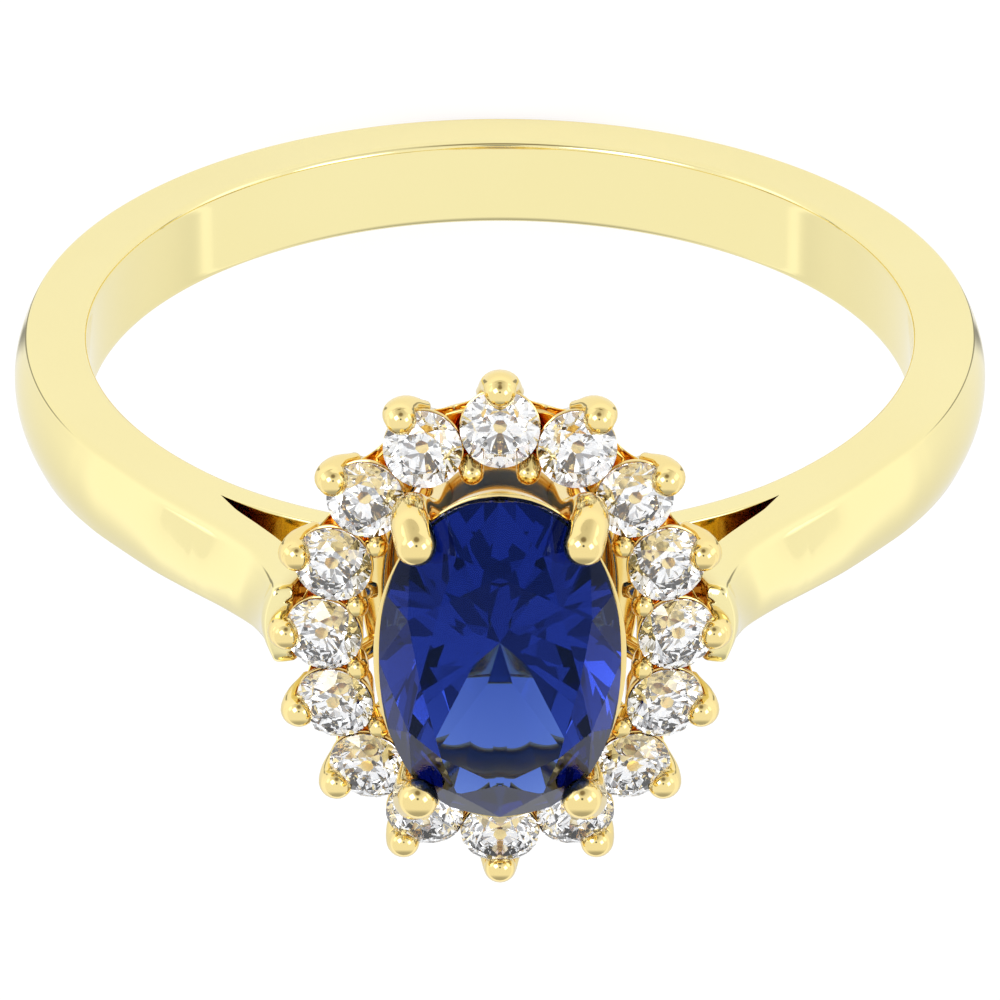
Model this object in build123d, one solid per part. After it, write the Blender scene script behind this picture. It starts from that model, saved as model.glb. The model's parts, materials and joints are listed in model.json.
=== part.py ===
from build123d import *
import math
import os

import numpy as np

# Oval cluster ring: a polished shank with cathedral shoulders, a halo gallery of sixteen cups, and a claw-set oval centre stone.
# Millimetres. Origin at the centre of the finger bore, +Y along the finger, +Z towards the centre stone.

# ---------------------------------------------------------------- driving dimensions
FINGER_R = 8.45                  # finger bore radius
BAND_W = 1.92                    # shank width along the finger
EDGE_R = 9.68                    # outer radius at the shank's side edges
CROWN = 0.27                     # how far the outer face domes above its side edges
RAIL_R = 9.02                    # outer radius of the rail that closes the bore under the head
COMFORT = 0.15                   # rounding of the bore's two edges

HALO_N = 16                      # halo stones
HALO_A, HALO_B = 3.40, 4.465     # half-axes of the ellipse through their centres
HALO_Z = 11.06                   # height of their girdles
HALO_TILT = 13.0                 # how far each leans outwards, degrees
DIA_R = 0.755                    # their radius
DIA_TABLE, DIA_CROWN, DIA_PAV = 0.57, 0.32, 0.86   # shares of the radius
DIA_GIRDLE = 0.035               # half the girdle's thickness, as a share of the radius

SAP_A, SAP_B = 2.31, 3.46        # half-axes of the centre stone's girdle
SAP_POWER = 2.25                 # its outline is a little fuller than an ellipse, which would be 2
SAP_Z = 12.06                    # height of that girdle
SAP_TABLE = 0.66
SAP_CROWN, SAP_PAV = 0.78, 2.05  # crown height and pavilion depth
SAP_GIRDLE = 0.06                # half the girdle's thickness

CUP_TOP_R, CUP_FOOT_R = 0.765, 0.56  # halo cup radii
CUP_TOP, CUP_FOOT = -0.09, -0.88     # halo cup, from the girdle plane
AZURE_R = 0.24                       # light hole under each halo stone
BEAM_IN, BEAM_OUT = 0.46, 0.24       # gallery beam, in and out from the halo ellipse
BEAM_TOP, BEAM_FOOT = 10.52, 10.08   # gallery beam heights

WALL_LOW, WALL_TOP = 10.30, 10.98    # scalloped wall round the outside of the halo
WALL_IN, WALL_OUT, WALL_T = 0.30, 0.80, 0.24   # its offsets from the halo ellipse at foot and top, and its thickness
SCALLOP_R, SCALLOP_LOW = 0.78, 10.46 # each scallop between two claws, and its lowest point

LEG_R, TIP_R = 0.20, 0.31        # halo claw wire and tip
FLARE_R = 0.44                   # claw's flared foot, where it grows out of the wall
PIN_R, PIN_TOP = 0.22, 11.38     # inner claws of the halo, and their tops
CLAW_R, CLAW_TIP_R = 0.355, 0.40 # centre claw wire and tip
CLAW_PATH = [(1.22, 2.10, 9.24), (1.42, 2.52, 10.90), (1.67, 3.01, 11.80), (1.58, 2.78, 12.56)]

BASE_A, BASE_B, BASE_T = 2.72, 3.72, 0.50   # base rail's outside half-axes and its width
BASE_LOW, BASE_TOP = 8.66, 9.34             # base rail heights
INNER_A, INNER_B, INNER_T = 1.72, 2.78, 0.62   # inner base rail, which carries the centre claws
SEAT_TOP, SEAT_FOOT = 11.97, 10.55          # centre stone's collet, just under its girdle
SEAT_OUT, SEAT_FOOT_IN = 0.13, 0.45         # how far its rim stands out past the girdle, and its foot draws in

# Side view of the shoulder: angle above the X axis, and radius of the outer edge there.
SHOULDER = [
    (38.0, 9.68), (46.0, 9.79), (50.0, 9.87), (54.0, 9.98), (57.0, 10.09), (60.0, 10.26),
    (63.0, 10.50), (65.0, 10.77), (66.6, 11.09), (67.6, 11.38), (68.2, 11.66),
]
WINDOW_TIP = 52.6                # angle where the shoulder leaves the rail
WINDOW_EDGE = [(5.08, 7.76), (4.66, 8.31), (4.20, 8.97)]   # shoulder's inner edge, X and Z
ARM_TOP = (3.66, 10.04)          # where the shoulder meets the gallery beam
ARM_INSIDE = (4.06, 10.42)       # shoulder's inside beside the gallery


# ---------------------------------------------------------------- helpers
def polar(deg, r):
    return (r * math.cos(math.radians(deg)), r * math.sin(math.radians(deg)))


def ellipse_point(a, b, s, n=20001):
    """Point and outward normal at share s of the ellipse's length, from +Y turning towards +X."""
    t = np.linspace(0, 2 * np.pi, n)
    x, y = a * np.sin(t), b * np.cos(t)
    length = np.concatenate([[0], np.cumsum(np.hypot(np.diff(x), np.diff(y)))])
    ti = float(np.interp(length[-1] * (s % 1.0), length, t))
    p = np.array([a * math.sin(ti), b * math.cos(ti)])
    m = np.array([p[0] / a**2, p[1] / b**2])
    return p, m / np.linalg.norm(m)


def convex(planes):
    """Vertices and outward-wound faces of the convex body cut out by its planes, each (normal, distance)."""
    rows = np.array([p[0] for p in planes], float)
    d = np.array([p[1] for p in planes], float)
    size = np.linalg.norm(rows, axis=1)
    rows, d = rows / size[:, None], d / size
    n = len(rows)
    i, j, k = np.array([(i, j, k) for i in range(n) for j in range(i + 1, n) for k in range(j + 1, n)]).T
    m = np.stack([rows[i], rows[j], rows[k]], axis=1)
    ok = np.abs(np.linalg.det(m)) > 1e-7
    m, r = m[ok], np.stack([d[i], d[j], d[k]], axis=1)[ok]
    v = np.linalg.solve(m, r[..., None])[..., 0]
    v = v[(v @ rows.T <= d + 1e-8).all(axis=1)]
    _, first = np.unique(np.round(v, 6), axis=0, return_index=True)
    keep = []
    for p in v[np.sort(first)]:
        if all(np.linalg.norm(p - q) > 1e-5 for q in keep):
            keep.append(p)
    v = np.array(keep)
    for q in range(len(v)):
        near = np.abs(rows @ v[q] - d) < 1e-6
        v[q] = np.linalg.lstsq(rows[near], d[near], rcond=None)[0]
    faces = []
    for a, b in zip(rows, d):
        on = np.where(np.abs(v @ a - b) < 1e-7)[0]
        if len(on) < 3:
            continue
        c = v[on].mean(axis=0)
        u = v[on[0]] - c
        u /= np.linalg.norm(u)
        w = np.cross(a, u)
        ang = np.arctan2((v[on] - c) @ w, (v[on] - c) @ u)
        faces.append([int(q) for q in on[np.argsort(ang)]])
    return v, faces


def plane3(p, q, r):
    n = np.cross(np.subtract(q, p), np.subtract(r, p))
    d = float(n @ np.array(p, float))
    return (n, d) if d > 0 else (-n, -d)


def brilliant(crown, pavilion, girdle, table, star, lower, sides):
    """Brilliant of unit girdle radius: table, 8 bezels, 8 stars, 16 upper and 16 lower girdle facets, 8 pavilion mains."""
    tc, tp = crown / (1 - table), pavilion
    at = lambda deg, r, z: (r * math.cos(math.radians(deg)), r * math.sin(math.radians(deg)), z)
    planes = [((0, 0, 1), girdle + crown)]
    for k in range(8):
        c, s = math.cos(math.radians(45 * k)), math.sin(math.radians(45 * k))
        planes.append(((tc * c, tc * s, 1), girdle + tc))
        planes.append(((tp * c, tp * s, -1), girdle + tp))
    c225 = math.cos(math.radians(22.5))
    rs = table * c225 + (1 - table * c225) * star
    zs = girdle + tc * (1 - rs * c225)
    rl = 1 - lower
    zl = -(girdle + tp * (1 - rl * c225))
    for k in range(8):
        mid = 45 * k + 22.5
        tip, low = at(mid, rs, zs), at(mid, rl, zl)
        planes.append(plane3(at(45 * k, table, girdle + crown), at(45 * k + 45, table, girdle + crown), tip))
        for end in (45 * k, 45 * k + 45):
            planes.append(plane3(tip, at(mid, 1, girdle), at(end, 1, girdle)))
            planes.append(plane3(low, at(mid, 1, -girdle), at(end, 1, -girdle)))
    for k in range(sides):
        t = 2 * math.pi * k / sides
        planes.append(((math.cos(t), math.sin(t), 0), 1.0))
    return convex(planes)


def oval_stone(a, b, power, crown, pavilion, girdle, table, star_z, low_z, sides):
    """Oval brilliant whose outline is a little fuller than an ellipse; every facet stays flat."""
    def rim(deg):
        c, q = math.cos(math.radians(deg)), math.sin(math.radians(deg))
        x, y = a * math.copysign(abs(c) ** (2 / power), c), b * math.copysign(abs(q) ** (2 / power), q)
        m = np.array([math.copysign(abs(x / a) ** (power - 1) / a, x), math.copysign(abs(y / b) ** (power - 1) / b, y)])
        m /= np.linalg.norm(m)
        p = np.array([x, y])
        return p, m, float(p @ m)

    planes = [((0, 0, 1), girdle + crown)]
    mains = [rim(45 * k) for k in range(8)]
    for p, m, h in mains:
        sc, sp = (1 - table) * h / crown, h / pavilion
        planes.append(((m[0], m[1], sc), h + sc * girdle))
        planes.append(((m[0], m[1], -sp), h + sp * girdle))

    def meet(k, zz):
        rows, rhs = [], []
        for p, m, h in (mains[k], mains[(k + 1) % 8]):
            rows.append(m)
            rhs.append(h - (1 - table) * h / crown * (zz - girdle) if zz > 0 else h + h / pavilion * (zz + girdle))
        q = np.linalg.solve(np.array(rows), np.array(rhs))
        return (q[0], q[1], zz)

    top = girdle + crown
    for k in range(8):
        tip, low = meet(k, girdle + star_z * crown), meet(k, -girdle - low_z * pavilion)
        p0, p1 = mains[k][0], mains[(k + 1) % 8][0]
        pm = rim(45 * k + 22.5)[0]
        planes.append(plane3((*(table * p0), top), (*(table * p1), top), tip))
        for pe in (p0, p1):
            planes.append(plane3(tip, (*pm, girdle), (*pe, girdle)))
            planes.append(plane3(low, (*pm, -girdle), (*pe, -girdle)))
    for k in range(sides):
        p, m, h = rim(360.0 * k / sides)
        planes.append(((m[0], m[1], 0), h))
    return convex(planes)


def one(shape):
    """The largest solid of a result, so that a sliver left by a cut never rides along."""
    return max(shape.solids(), key=lambda s: s.volume)


def gem(v, faces):
    return Solid(Shell([Face(Wire.make_polygon([Vector(*map(float, v[i])) for i in f], close=True)) for f in faces]))


def wire_claw(points, radius, tip_radius):
    """Round wire bent through the points, with a ball at its end."""
    pts = [Vector(*p) for p in points]
    solid = None
    for p, q in zip(pts, pts[1:]):
        rod = Plane(origin=p, z_dir=q - p) * Cylinder(radius, (q - p).length, align=(Align.CENTER, Align.CENTER, Align.MIN))
        solid = rod if solid is None else solid + rod
    for p in pts[1:-1]:
        solid = solid + Pos(p.X, p.Y, p.Z) * Sphere(radius * 1.02)
    return one(solid + Pos(pts[-1].X, pts[-1].Y, pts[-1].Z) * Sphere(tip_radius))


def oval_tube(a0, b0, z0, a1, b1, z1, t):
    outer = loft([Pos(0, 0, z0) * Ellipse(a0, b0), Pos(0, 0, z1) * Ellipse(a1, b1)])
    inner = loft([Pos(0, 0, z0 - 0.05) * Ellipse(a0 - t - 0.05 * (a1 - a0) / (z1 - z0), b0 - t - 0.05 * (b1 - b0) / (z1 - z0)),
                  Pos(0, 0, z1 + 0.05) * Ellipse(a1 - t + 0.05 * (a1 - a0) / (z1 - z0), b1 - t + 0.05 * (b1 - b0) / (z1 - z0))])
    return (outer - inner).solids()[0]



# ---------------------------------------------------------------- stones
v, faces = brilliant(DIA_CROWN, DIA_PAV, DIA_GIRDLE, DIA_TABLE, 0.5, 0.76, 32)
diamond = gem(v * DIA_R, faces)

spots = [ellipse_point(HALO_A, HALO_B, i / HALO_N) for i in range(HALO_N)]
seats = []
for p, m in spots:
    t = math.radians(HALO_TILT)
    seats.append(Plane(
        origin=(float(p[0]), float(p[1]), HALO_Z),
        x_dir=(math.cos(t) * m[0], math.cos(t) * m[1], -math.sin(t)),
        z_dir=(math.sin(t) * m[0], math.sin(t) * m[1], math.cos(t)),
    ))
diamonds = [s.location * diamond for s in seats]

v, faces = oval_stone(SAP_A, SAP_B, SAP_POWER, SAP_CROWN, SAP_PAV, SAP_GIRDLE, SAP_TABLE, 0.72, 0.78, 72)
sapphire = Pos(0, 0, SAP_Z) * gem(v, faces)

# ---------------------------------------------------------------- shank: bore, band, shoulders and finger rail in one casting
edge = [polar(a, r) for a, r in SHOULDER]
tangent_low = (-math.sin(math.radians(38.0)), math.cos(math.radians(38.0)))
tangent_top = (-0.10, 1.0)


def side_curves(sign):
    pts = [(sign * x, z) for x, z in edge]
    return Spline(*pts, tangents=[(sign * tangent_low[0], tangent_low[1]), (sign * tangent_top[0], tangent_top[1])])


tip = polar(WINDOW_TIP, RAIL_R)
end = edge[-1]
lip = (end[0] - 0.20, end[1] + 0.02)
outline = []
for sign in (1, -1):
    outline.append(side_curves(sign))
    inner = [lip, ARM_INSIDE, ARM_TOP]
    chain = [end] + inner
    for (x0, z0), (x1, z1) in zip(chain, chain[1:]):
        outline.append(Line((sign * x0, z0), (sign * x1, z1)))
    outline.append(Spline(*[(sign * x, z) for x, z in [ARM_TOP] + WINDOW_EDGE[::-1] + [tip]]))
outline.append(ThreePointArc(tip, (0, RAIL_R), (-tip[0], tip[1])))
low_right, low_left = polar(38.0, EDGE_R), (-polar(38.0, EDGE_R)[0], polar(38.0, EDGE_R)[1])
outline.append(ThreePointArc(low_right, (0, -EDGE_R), low_left))
face = make_face(Curve() + outline) - Circle(FINGER_R)
side = Plane(origin=(0, 0, 0), x_dir=(1, 0, 0), z_dir=(0, -1, 0))     # X across, local Y along +Z
body = extrude(side * face, BAND_W / 2, both=True)

# the domed outer face: one segment of a circle carried along the whole outer edge
def dome_section(at, run, rise):
    out = Vector(0, 1, 0).cross(run).normalized()
    if out.dot(Vector(at.X, 0, at.Z)) < 0:
        out = -out
    half = BAND_W / 2 - 0.03
    to = lambda u, w: at + Vector(0, 1, 0) * u + out * w
    return Face(Wire([
        Edge.make_line(to(-half, -0.16), to(half, -0.16)), Edge.make_line(to(half, -0.16), to(half, 0)),
        Edge.make_three_point_arc(to(half, 0), to(0, rise), to(-half, 0)), Edge.make_line(to(-half, 0), to(-half, -0.16)),
    ]))


band_arc = side * ThreePointArc(low_right, (0, -EDGE_R), low_left)
domes = [sweep(dome_section(band_arc @ 0, band_arc % 0, CROWN), path=band_arc).solids()[0]]
for sign in (1, -1):
    curve = side * side_curves(sign)
    rows = [dome_section(curve @ u, curve % u, CROWN) for u in np.linspace(0, 1, 10)]
    domes.append(loft(rows).solids()[0])
dome = domes[0].fuse(*domes[1:])
shank = one(body + dome)
rims = [e for e in shank.edges() if e.geom_type == GeomType.CIRCLE and abs(e.radius - FINGER_R) < 1e-3 and abs(abs(e.center().Y) - BAND_W / 2) < 0.2]
shank = one(fillet(rims, COMFORT))

# ---------------------------------------------------------------- head
base_rail = oval_tube(BASE_A - 0.10, BASE_B - 0.10, BASE_LOW, BASE_A, BASE_B, BASE_TOP, BASE_T)
inner_rail = oval_tube(INNER_A, INNER_B, BASE_LOW, INNER_A, INNER_B, BASE_TOP, INNER_T)
base_rail = one(base_rail - shank)
# two bridges tie the inner rail to the base rail at the ends of the oval
bridge_y = (INNER_B + BASE_B - BASE_T) / 2
bridges = [Pos(0, s * bridge_y, BASE_TOP - 0.19) * Box(0.5, BASE_B - BASE_T - INNER_B + 0.30, 0.38) for s in (1, -1)]
inner_rail = one((inner_rail - shank) + bridges)
base_rail = one(base_rail - inner_rail)

claw = wire_claw(CLAW_PATH, CLAW_R, CLAW_TIP_R)
claw = one(claw - inner_rail - sapphire - diamonds[1] - diamonds[2])
claws = {"ne": claw, "nw": claw.mirror(Plane.YZ), "se": claw.mirror(Plane.XZ), "sw": claw.mirror(Plane.YZ).mirror(Plane.XZ)}

seat_rail = oval_tube(SAP_A - SEAT_FOOT_IN, SAP_B - SEAT_FOOT_IN, SEAT_FOOT, SAP_A + SEAT_OUT, SAP_B + SEAT_OUT, SEAT_TOP, 0.30)
seat_rail = one(seat_rail - sapphire)
for c in claws.values():
    seat_rail = one(seat_rail - c)


def halo_claw(i):
    p, m = spots[i]
    q = 0.75 + 0.08 * m[1] ** 2
    at = lambda out, zz: (float(p[0] + m[0] * out), float(p[1] + m[1] * out), zz)
    b, _ = ellipse_point(BASE_A - 0.25, BASE_B - 0.25, i / HALO_N)
    pts = [(float(b[0]), float(b[1]), BASE_TOP - 0.12), at(0.38, 10.12), at(0.66, 10.52), at(q + 0.04, 10.84), at(q - 0.02, 11.04)]
    foot, head = Vector(*at(0.44, 10.40)), Vector(*at(q - 0.01, 10.96))
    flare = Plane(origin=foot, z_dir=head - foot) * Cone(FLARE_R, TIP_R * 0.96, (head - foot).length, align=(Align.CENTER, Align.CENTER, Align.MIN))
    return one(wire_claw(pts, LEG_R, TIP_R) + flare - base_rail - diamonds[i])


quarter = {i: halo_claw(i) for i in range(5)}
halo_claws = {}
for i, c in quarter.items():
    halo_claws[i] = c
    if 0 < i:
        halo_claws[HALO_N - i] = c.mirror(Plane.YZ)
    if i < 4:
        halo_claws[8 - i] = c.mirror(Plane.XZ)
        if 0 < i:
            halo_claws[8 + i] = c.mirror(Plane.YZ).mirror(Plane.XZ)

cup = Cone(CUP_FOOT_R, CUP_TOP_R, CUP_TOP - CUP_FOOT, align=(Align.CENTER, Align.CENTER, Align.MIN))
cup = Pos(0, 0, CUP_FOOT) * cup
g = DIA_GIRDLE * DIA_R
bore = Pos(0, 0, -1.3) * Cylinder(AZURE_R, 1.3, align=(Align.CENTER, Align.CENTER, Align.MIN))
well = Pos(0, 0, -g - 0.02 - DIA_PAV * DIA_R) * Cone(0.001, DIA_R + 0.01, DIA_PAV * DIA_R, align=(Align.CENTER, Align.CENTER, Align.MIN))
rimcut = Pos(0, 0, -g - 0.02) * Cylinder(DIA_R + 0.01, 0.5, align=(Align.CENTER, Align.CENTER, Align.MIN))
seatcut = (bore + well + rimcut).solids()[0]

tray = extrude(Pos(0, 0, BEAM_FOOT) * (Ellipse(HALO_A + BEAM_OUT, HALO_B + BEAM_OUT) - Ellipse(HALO_A - BEAM_IN, HALO_B - BEAM_IN)), BEAM_TOP - BEAM_FOOT)
wall = oval_tube(HALO_A + WALL_IN, HALO_B + WALL_IN, WALL_LOW, HALO_A + WALL_OUT, HALO_B + WALL_OUT, WALL_TOP, WALL_T)
scallops = []
for i in range(HALO_N):
    p, m = ellipse_point(HALO_A, HALO_B, (i + 0.5) / HALO_N)
    scallops.append(Plane(origin=(float(p[0]), float(p[1]), SCALLOP_LOW + SCALLOP_R), z_dir=(float(m[0]), float(m[1]), 0)) * Cylinder(SCALLOP_R, 1.6, align=(Align.CENTER, Align.CENTER, Align.MIN)))
wall = one(wall.cut(*scallops))
tray = one(tray.solids()[0].fuse(wall, *[s.location * cup for s in seats]))
tray = one(tray.cut(*[s.location * seatcut for s in seats]))
tray = one(tray.cut(*halo_claws.values()))
tray = one(tray.cut(*claws.values()))

pins = []
for i in range(HALO_N):
    if i in (1, 6, 9, 14):
        continue
    p, m = ellipse_point(HALO_A, HALO_B, (i + 0.5) / HALO_N)
    inset = 0.62 + 0.20 * m[1] ** 2
    x, y = float(p[0] - m[0] * inset), float(p[1] - m[1] * inset)
    foot = (float(p[0] - m[0] * 0.36), float(p[1] - m[1] * 0.36), BEAM_TOP - 0.2)
    leg = Vector(x, y, PIN_TOP - PIN_R) - Vector(*foot)
    pin = Plane(origin=foot, z_dir=leg) * Cylinder(PIN_R * 0.9, leg.length, align=(Align.CENTER, Align.CENTER, Align.MIN))
    pin = (pin + Pos(x, y, PIN_TOP - PIN_R) * Sphere(PIN_R)).solids()[0]
    pins.append(one(pin - diamonds[i] - diamonds[(i + 1) % HALO_N] - tray))

shank = one(shank.cut(*[halo_claws[i] for i in (3, 4, 5, 11, 12, 13)]))
shank = one(shank - tray)

# ---------------------------------------------------------------- nodes
nodes = {"shank": shank, "base_rail": base_rail, "inner_rail": inner_rail, "halo_gallery": tray, "seat_rail": seat_rail, "centre_sapphire": sapphire}
for name, c in claws.items():
    nodes["centre_claw_" + name] = c
nodes["halo_claws"] = Compound([halo_claws[i] for i in range(HALO_N)])
nodes["halo_pins"] = Compound(pins)
for i, d in enumerate(diamonds):
    nodes["diamond_%02d" % (i + 1)] = d

os.makedirs("parts", exist_ok=True)
for name, shape in nodes.items():
    export_step(shape, os.path.join("parts", name + ".step"))
    print(name, len(shape.solids()), round(sum(s.volume for s in shape.solids()), 3))
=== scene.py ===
import json
import math

import bmesh
import bpy
import numpy as np
from mathutils import Matrix, Vector


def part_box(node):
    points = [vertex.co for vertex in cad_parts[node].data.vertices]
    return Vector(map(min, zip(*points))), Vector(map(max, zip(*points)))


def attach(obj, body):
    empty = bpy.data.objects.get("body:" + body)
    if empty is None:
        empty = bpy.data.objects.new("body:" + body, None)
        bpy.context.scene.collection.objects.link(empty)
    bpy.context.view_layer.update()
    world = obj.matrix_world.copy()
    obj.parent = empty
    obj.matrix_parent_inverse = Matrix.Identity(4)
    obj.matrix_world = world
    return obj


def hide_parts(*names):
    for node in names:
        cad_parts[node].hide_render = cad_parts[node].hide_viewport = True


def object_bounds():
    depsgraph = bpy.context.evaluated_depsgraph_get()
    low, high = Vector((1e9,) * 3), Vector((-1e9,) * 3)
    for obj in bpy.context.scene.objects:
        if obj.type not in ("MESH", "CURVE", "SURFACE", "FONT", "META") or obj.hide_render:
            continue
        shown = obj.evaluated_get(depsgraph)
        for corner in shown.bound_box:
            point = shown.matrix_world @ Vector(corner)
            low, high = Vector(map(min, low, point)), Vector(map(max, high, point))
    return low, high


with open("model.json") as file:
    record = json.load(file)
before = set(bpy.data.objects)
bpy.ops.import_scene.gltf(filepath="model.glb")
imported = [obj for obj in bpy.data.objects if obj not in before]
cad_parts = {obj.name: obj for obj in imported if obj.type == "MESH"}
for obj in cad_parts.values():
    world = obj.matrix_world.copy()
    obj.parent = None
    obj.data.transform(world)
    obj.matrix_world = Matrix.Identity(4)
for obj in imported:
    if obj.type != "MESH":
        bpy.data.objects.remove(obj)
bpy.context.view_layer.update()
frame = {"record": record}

MM = 0.001
GOLD_NODES = ["base_rail", "inner_rail", "seat_rail"]


# ------------------------------------------------------------------ sizes, read from the frame
def box_mm(node):
    lo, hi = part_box(node)
    return np.array(lo) / MM, np.array(hi) / MM


def bore_r():
    for m in frame["record"].get("mounts", []):
        if m.get("kind") == "bore":
            return float(m["dims"]["r_mm"])
    return 8.45


R_BORE = bore_r()
s_lo, s_hi = box_mm("shank")
W = (s_hi[1] - s_lo[1]) / 2                      # half of the band's width
R_EDGE = 9.68
CROWN = -s_lo[2] - R_EDGE                        # the dome above the side edges
R_RAIL = 9.02

dia_boxes = [box_mm("diamond_%02d" % (i + 1)) for i in range(16)]
dia_mid = np.array([(lo + hi) / 2 for lo, hi in dia_boxes])
sap_lo, sap_hi = box_mm("centre_sapphire")
SAP_A, SAP_B = sap_hi[0], sap_hi[1]
HALO_A, HALO_B, HALO_Z, HALO_TILT = 3.40, 4.465, 11.06, math.radians(13.0)
DIA_R = float((dia_boxes[0][1] - dia_boxes[0][0])[0] / 2)   # the first stone leans about X, so its X size is its full width


def ellipse_point(a, b, s, n=20001):
    t = np.linspace(0, 2 * np.pi, n)
    x, y = a * np.sin(t), b * np.cos(t)
    length = np.concatenate([[0], np.cumsum(np.hypot(np.diff(x), np.diff(y)))])
    ti = float(np.interp(length[-1] * (s % 1.0), length, t))
    p = np.array([a * math.sin(ti), b * math.cos(ti)])
    m = np.array([p[0] / a**2, p[1] / b**2])
    return p, m / np.linalg.norm(m)


# ------------------------------------------------------------------ node helpers
def material(name):
    mat = bpy.data.materials.new(name)
    mat.use_nodes = True
    nt = mat.node_tree
    bsdf = nt.nodes["Principled BSDF"]
    return mat, nt, bsdf


def add(nt, kind, **inputs):
    n = nt.nodes.new(kind)
    for k, v in inputs.items():
        if k in n.inputs:
            n.inputs[k].default_value = v
        else:
            setattr(n, k, v)
    return n


def gold_material(name, base, deep, rough=0.075, scratch=0.012, crevice_shade=None):
    """Polished gold: slow tone drift, haze in the roughness and hairline polishing marks in the bump; if a crevice
    colour is given, painted shade darkens the base colour towards it where ambient occlusion finds metal close by.
    """
    mat, nt, bsdf = material(name)
    coord = add(nt, "ShaderNodeTexCoord")
    drift = add(nt, "ShaderNodeTexNoise", Scale=180.0, Detail=3.0)
    nt.links.new(coord.outputs["Object"], drift.inputs["Vector"])
    ramp = add(nt, "ShaderNodeValToRGB")
    ramp.color_ramp.elements[0].position, ramp.color_ramp.elements[0].color = 0.25, (*deep, 1)
    ramp.color_ramp.elements[1].position, ramp.color_ramp.elements[1].color = 0.75, (*base, 1)
    nt.links.new(drift.outputs["Fac"], ramp.inputs["Fac"])
    tone = ramp.outputs["Color"]
    if crevice_shade:
        # painted shade: the colour darkens towards the crevice colour where the ambient occlusion within 0.7 mm is low
        near = add(nt, "ShaderNodeAmbientOcclusion", Distance=0.0007, samples=6)
        crevice_shade_mask = add(nt, "ShaderNodeMapRange", interpolation_type="SMOOTHSTEP")
        crevice_shade_mask.inputs["From Min"].default_value, crevice_shade_mask.inputs["From Max"].default_value = 0.15, 0.75
        nt.links.new(near.outputs["AO"], crevice_shade_mask.inputs["Value"])
        shade = add(nt, "ShaderNodeMix", data_type="RGBA")
        nt.links.new(crevice_shade_mask.outputs["Result"], shade.inputs["Factor"])
        shade.inputs["A"].default_value = (*crevice_shade, 1)
        nt.links.new(tone, shade.inputs["B"])
        tone = shade.outputs["Result"]
    nt.links.new(tone, bsdf.inputs["Base Color"])
    haze = add(nt, "ShaderNodeTexNoise", Scale=900.0, Detail=5.0)
    nt.links.new(coord.outputs["Object"], haze.inputs["Vector"])
    span = add(nt, "ShaderNodeMapRange")
    span.inputs["From Min"].default_value, span.inputs["From Max"].default_value = 0.3, 0.7
    span.inputs["To Min"].default_value, span.inputs["To Max"].default_value = rough * 0.75, rough * 1.35
    nt.links.new(haze.outputs["Fac"], span.inputs["Value"])
    nt.links.new(span.outputs["Result"], bsdf.inputs["Roughness"])
    stretch = add(nt, "ShaderNodeMapping")
    stretch.inputs["Scale"].default_value = (260.0, 9000.0, 260.0)
    nt.links.new(coord.outputs["Object"], stretch.inputs["Vector"])
    lines = add(nt, "ShaderNodeTexNoise", Scale=1.0, Detail=2.0)
    nt.links.new(stretch.outputs["Vector"], lines.inputs["Vector"])
    bump = add(nt, "ShaderNodeBump", Strength=scratch)
    bump.inputs["Distance"].default_value = 0.00002
    nt.links.new(lines.outputs["Fac"], bump.inputs["Height"])
    nt.links.new(bump.outputs["Normal"], bsdf.inputs["Normal"])
    bsdf.inputs["Metallic"].default_value = 1.0
    return mat


gold = gold_material("gold_polished", (0.96, 0.86, 0.452), (0.945, 0.838, 0.42), crevice_shade=(0.42, 0.22, 0.05))
# The head's gold and the inner rail's gold are darker copies of the shank's gold: painted shade, standing in for the
# shade and self-reflection that deepen the metal in the head and under the halo.
gold_head_shaded = gold_material("gold_head_shaded", (0.95, 0.78, 0.36), (0.93, 0.74, 0.31), rough=0.09, scratch=0.006, crevice_shade=(0.80, 0.50, 0.12))
gold_inside_shaded = gold_material("gold_inside_shaded", (0.86, 0.60, 0.19), (0.80, 0.53, 0.15), rough=0.34, scratch=0.03, crevice_shade=(0.62, 0.36, 0.08))


def gem_material(name, tint, ior, absorb=None, density=0.0, sheen=0.5, mirror=(1.0, 1.0, 1.0)):
    mat, nt, bsdf = material(name)
    bsdf.inputs["Base Color"].default_value = (*tint, 1)
    bsdf.inputs["Transmission Weight"].default_value = 1.0
    bsdf.inputs["IOR"].default_value = ior
    bsdf.inputs["Specular IOR Level"].default_value = sheen
    bsdf.inputs["Specular Tint"].default_value = (*mirror, 1)
    coord = add(nt, "ShaderNodeTexCoord")
    polish = add(nt, "ShaderNodeTexNoise", Scale=2500.0, Detail=2.0)
    nt.links.new(coord.outputs["Object"], polish.inputs["Vector"])
    span = add(nt, "ShaderNodeMapRange")
    span.inputs["To Min"].default_value, span.inputs["To Max"].default_value = 0.0, 0.012
    nt.links.new(polish.outputs["Fac"], span.inputs["Value"])
    nt.links.new(span.outputs["Result"], bsdf.inputs["Roughness"])
    if absorb:
        vol = add(nt, "ShaderNodeVolumeAbsorption")
        vol.inputs["Color"].default_value = (*absorb, 1)
        vol.inputs["Density"].default_value = density
        nt.links.new(vol.outputs["Volume"], nt.nodes["Material Output"].inputs["Volume"])
    return mat


# painted light: the faint blue in the diamonds' base colour offsets the yellow that the gold cups reflect into the
# stones
diamond_mat = gem_material("diamond_clear", (0.975, 0.985, 1.0), 2.417)
# painted reflection: the deep blue specular tint colours the sapphire's surface reflection, so its table shows deep
# blue where a white sheen would be
sapphire_mat = gem_material("sapphire_blue", (0.23, 0.38, 0.95), 1.77, absorb=(0.03, 0.16, 0.56), density=560.0, mirror=(0.06, 0.12, 0.42))


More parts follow.
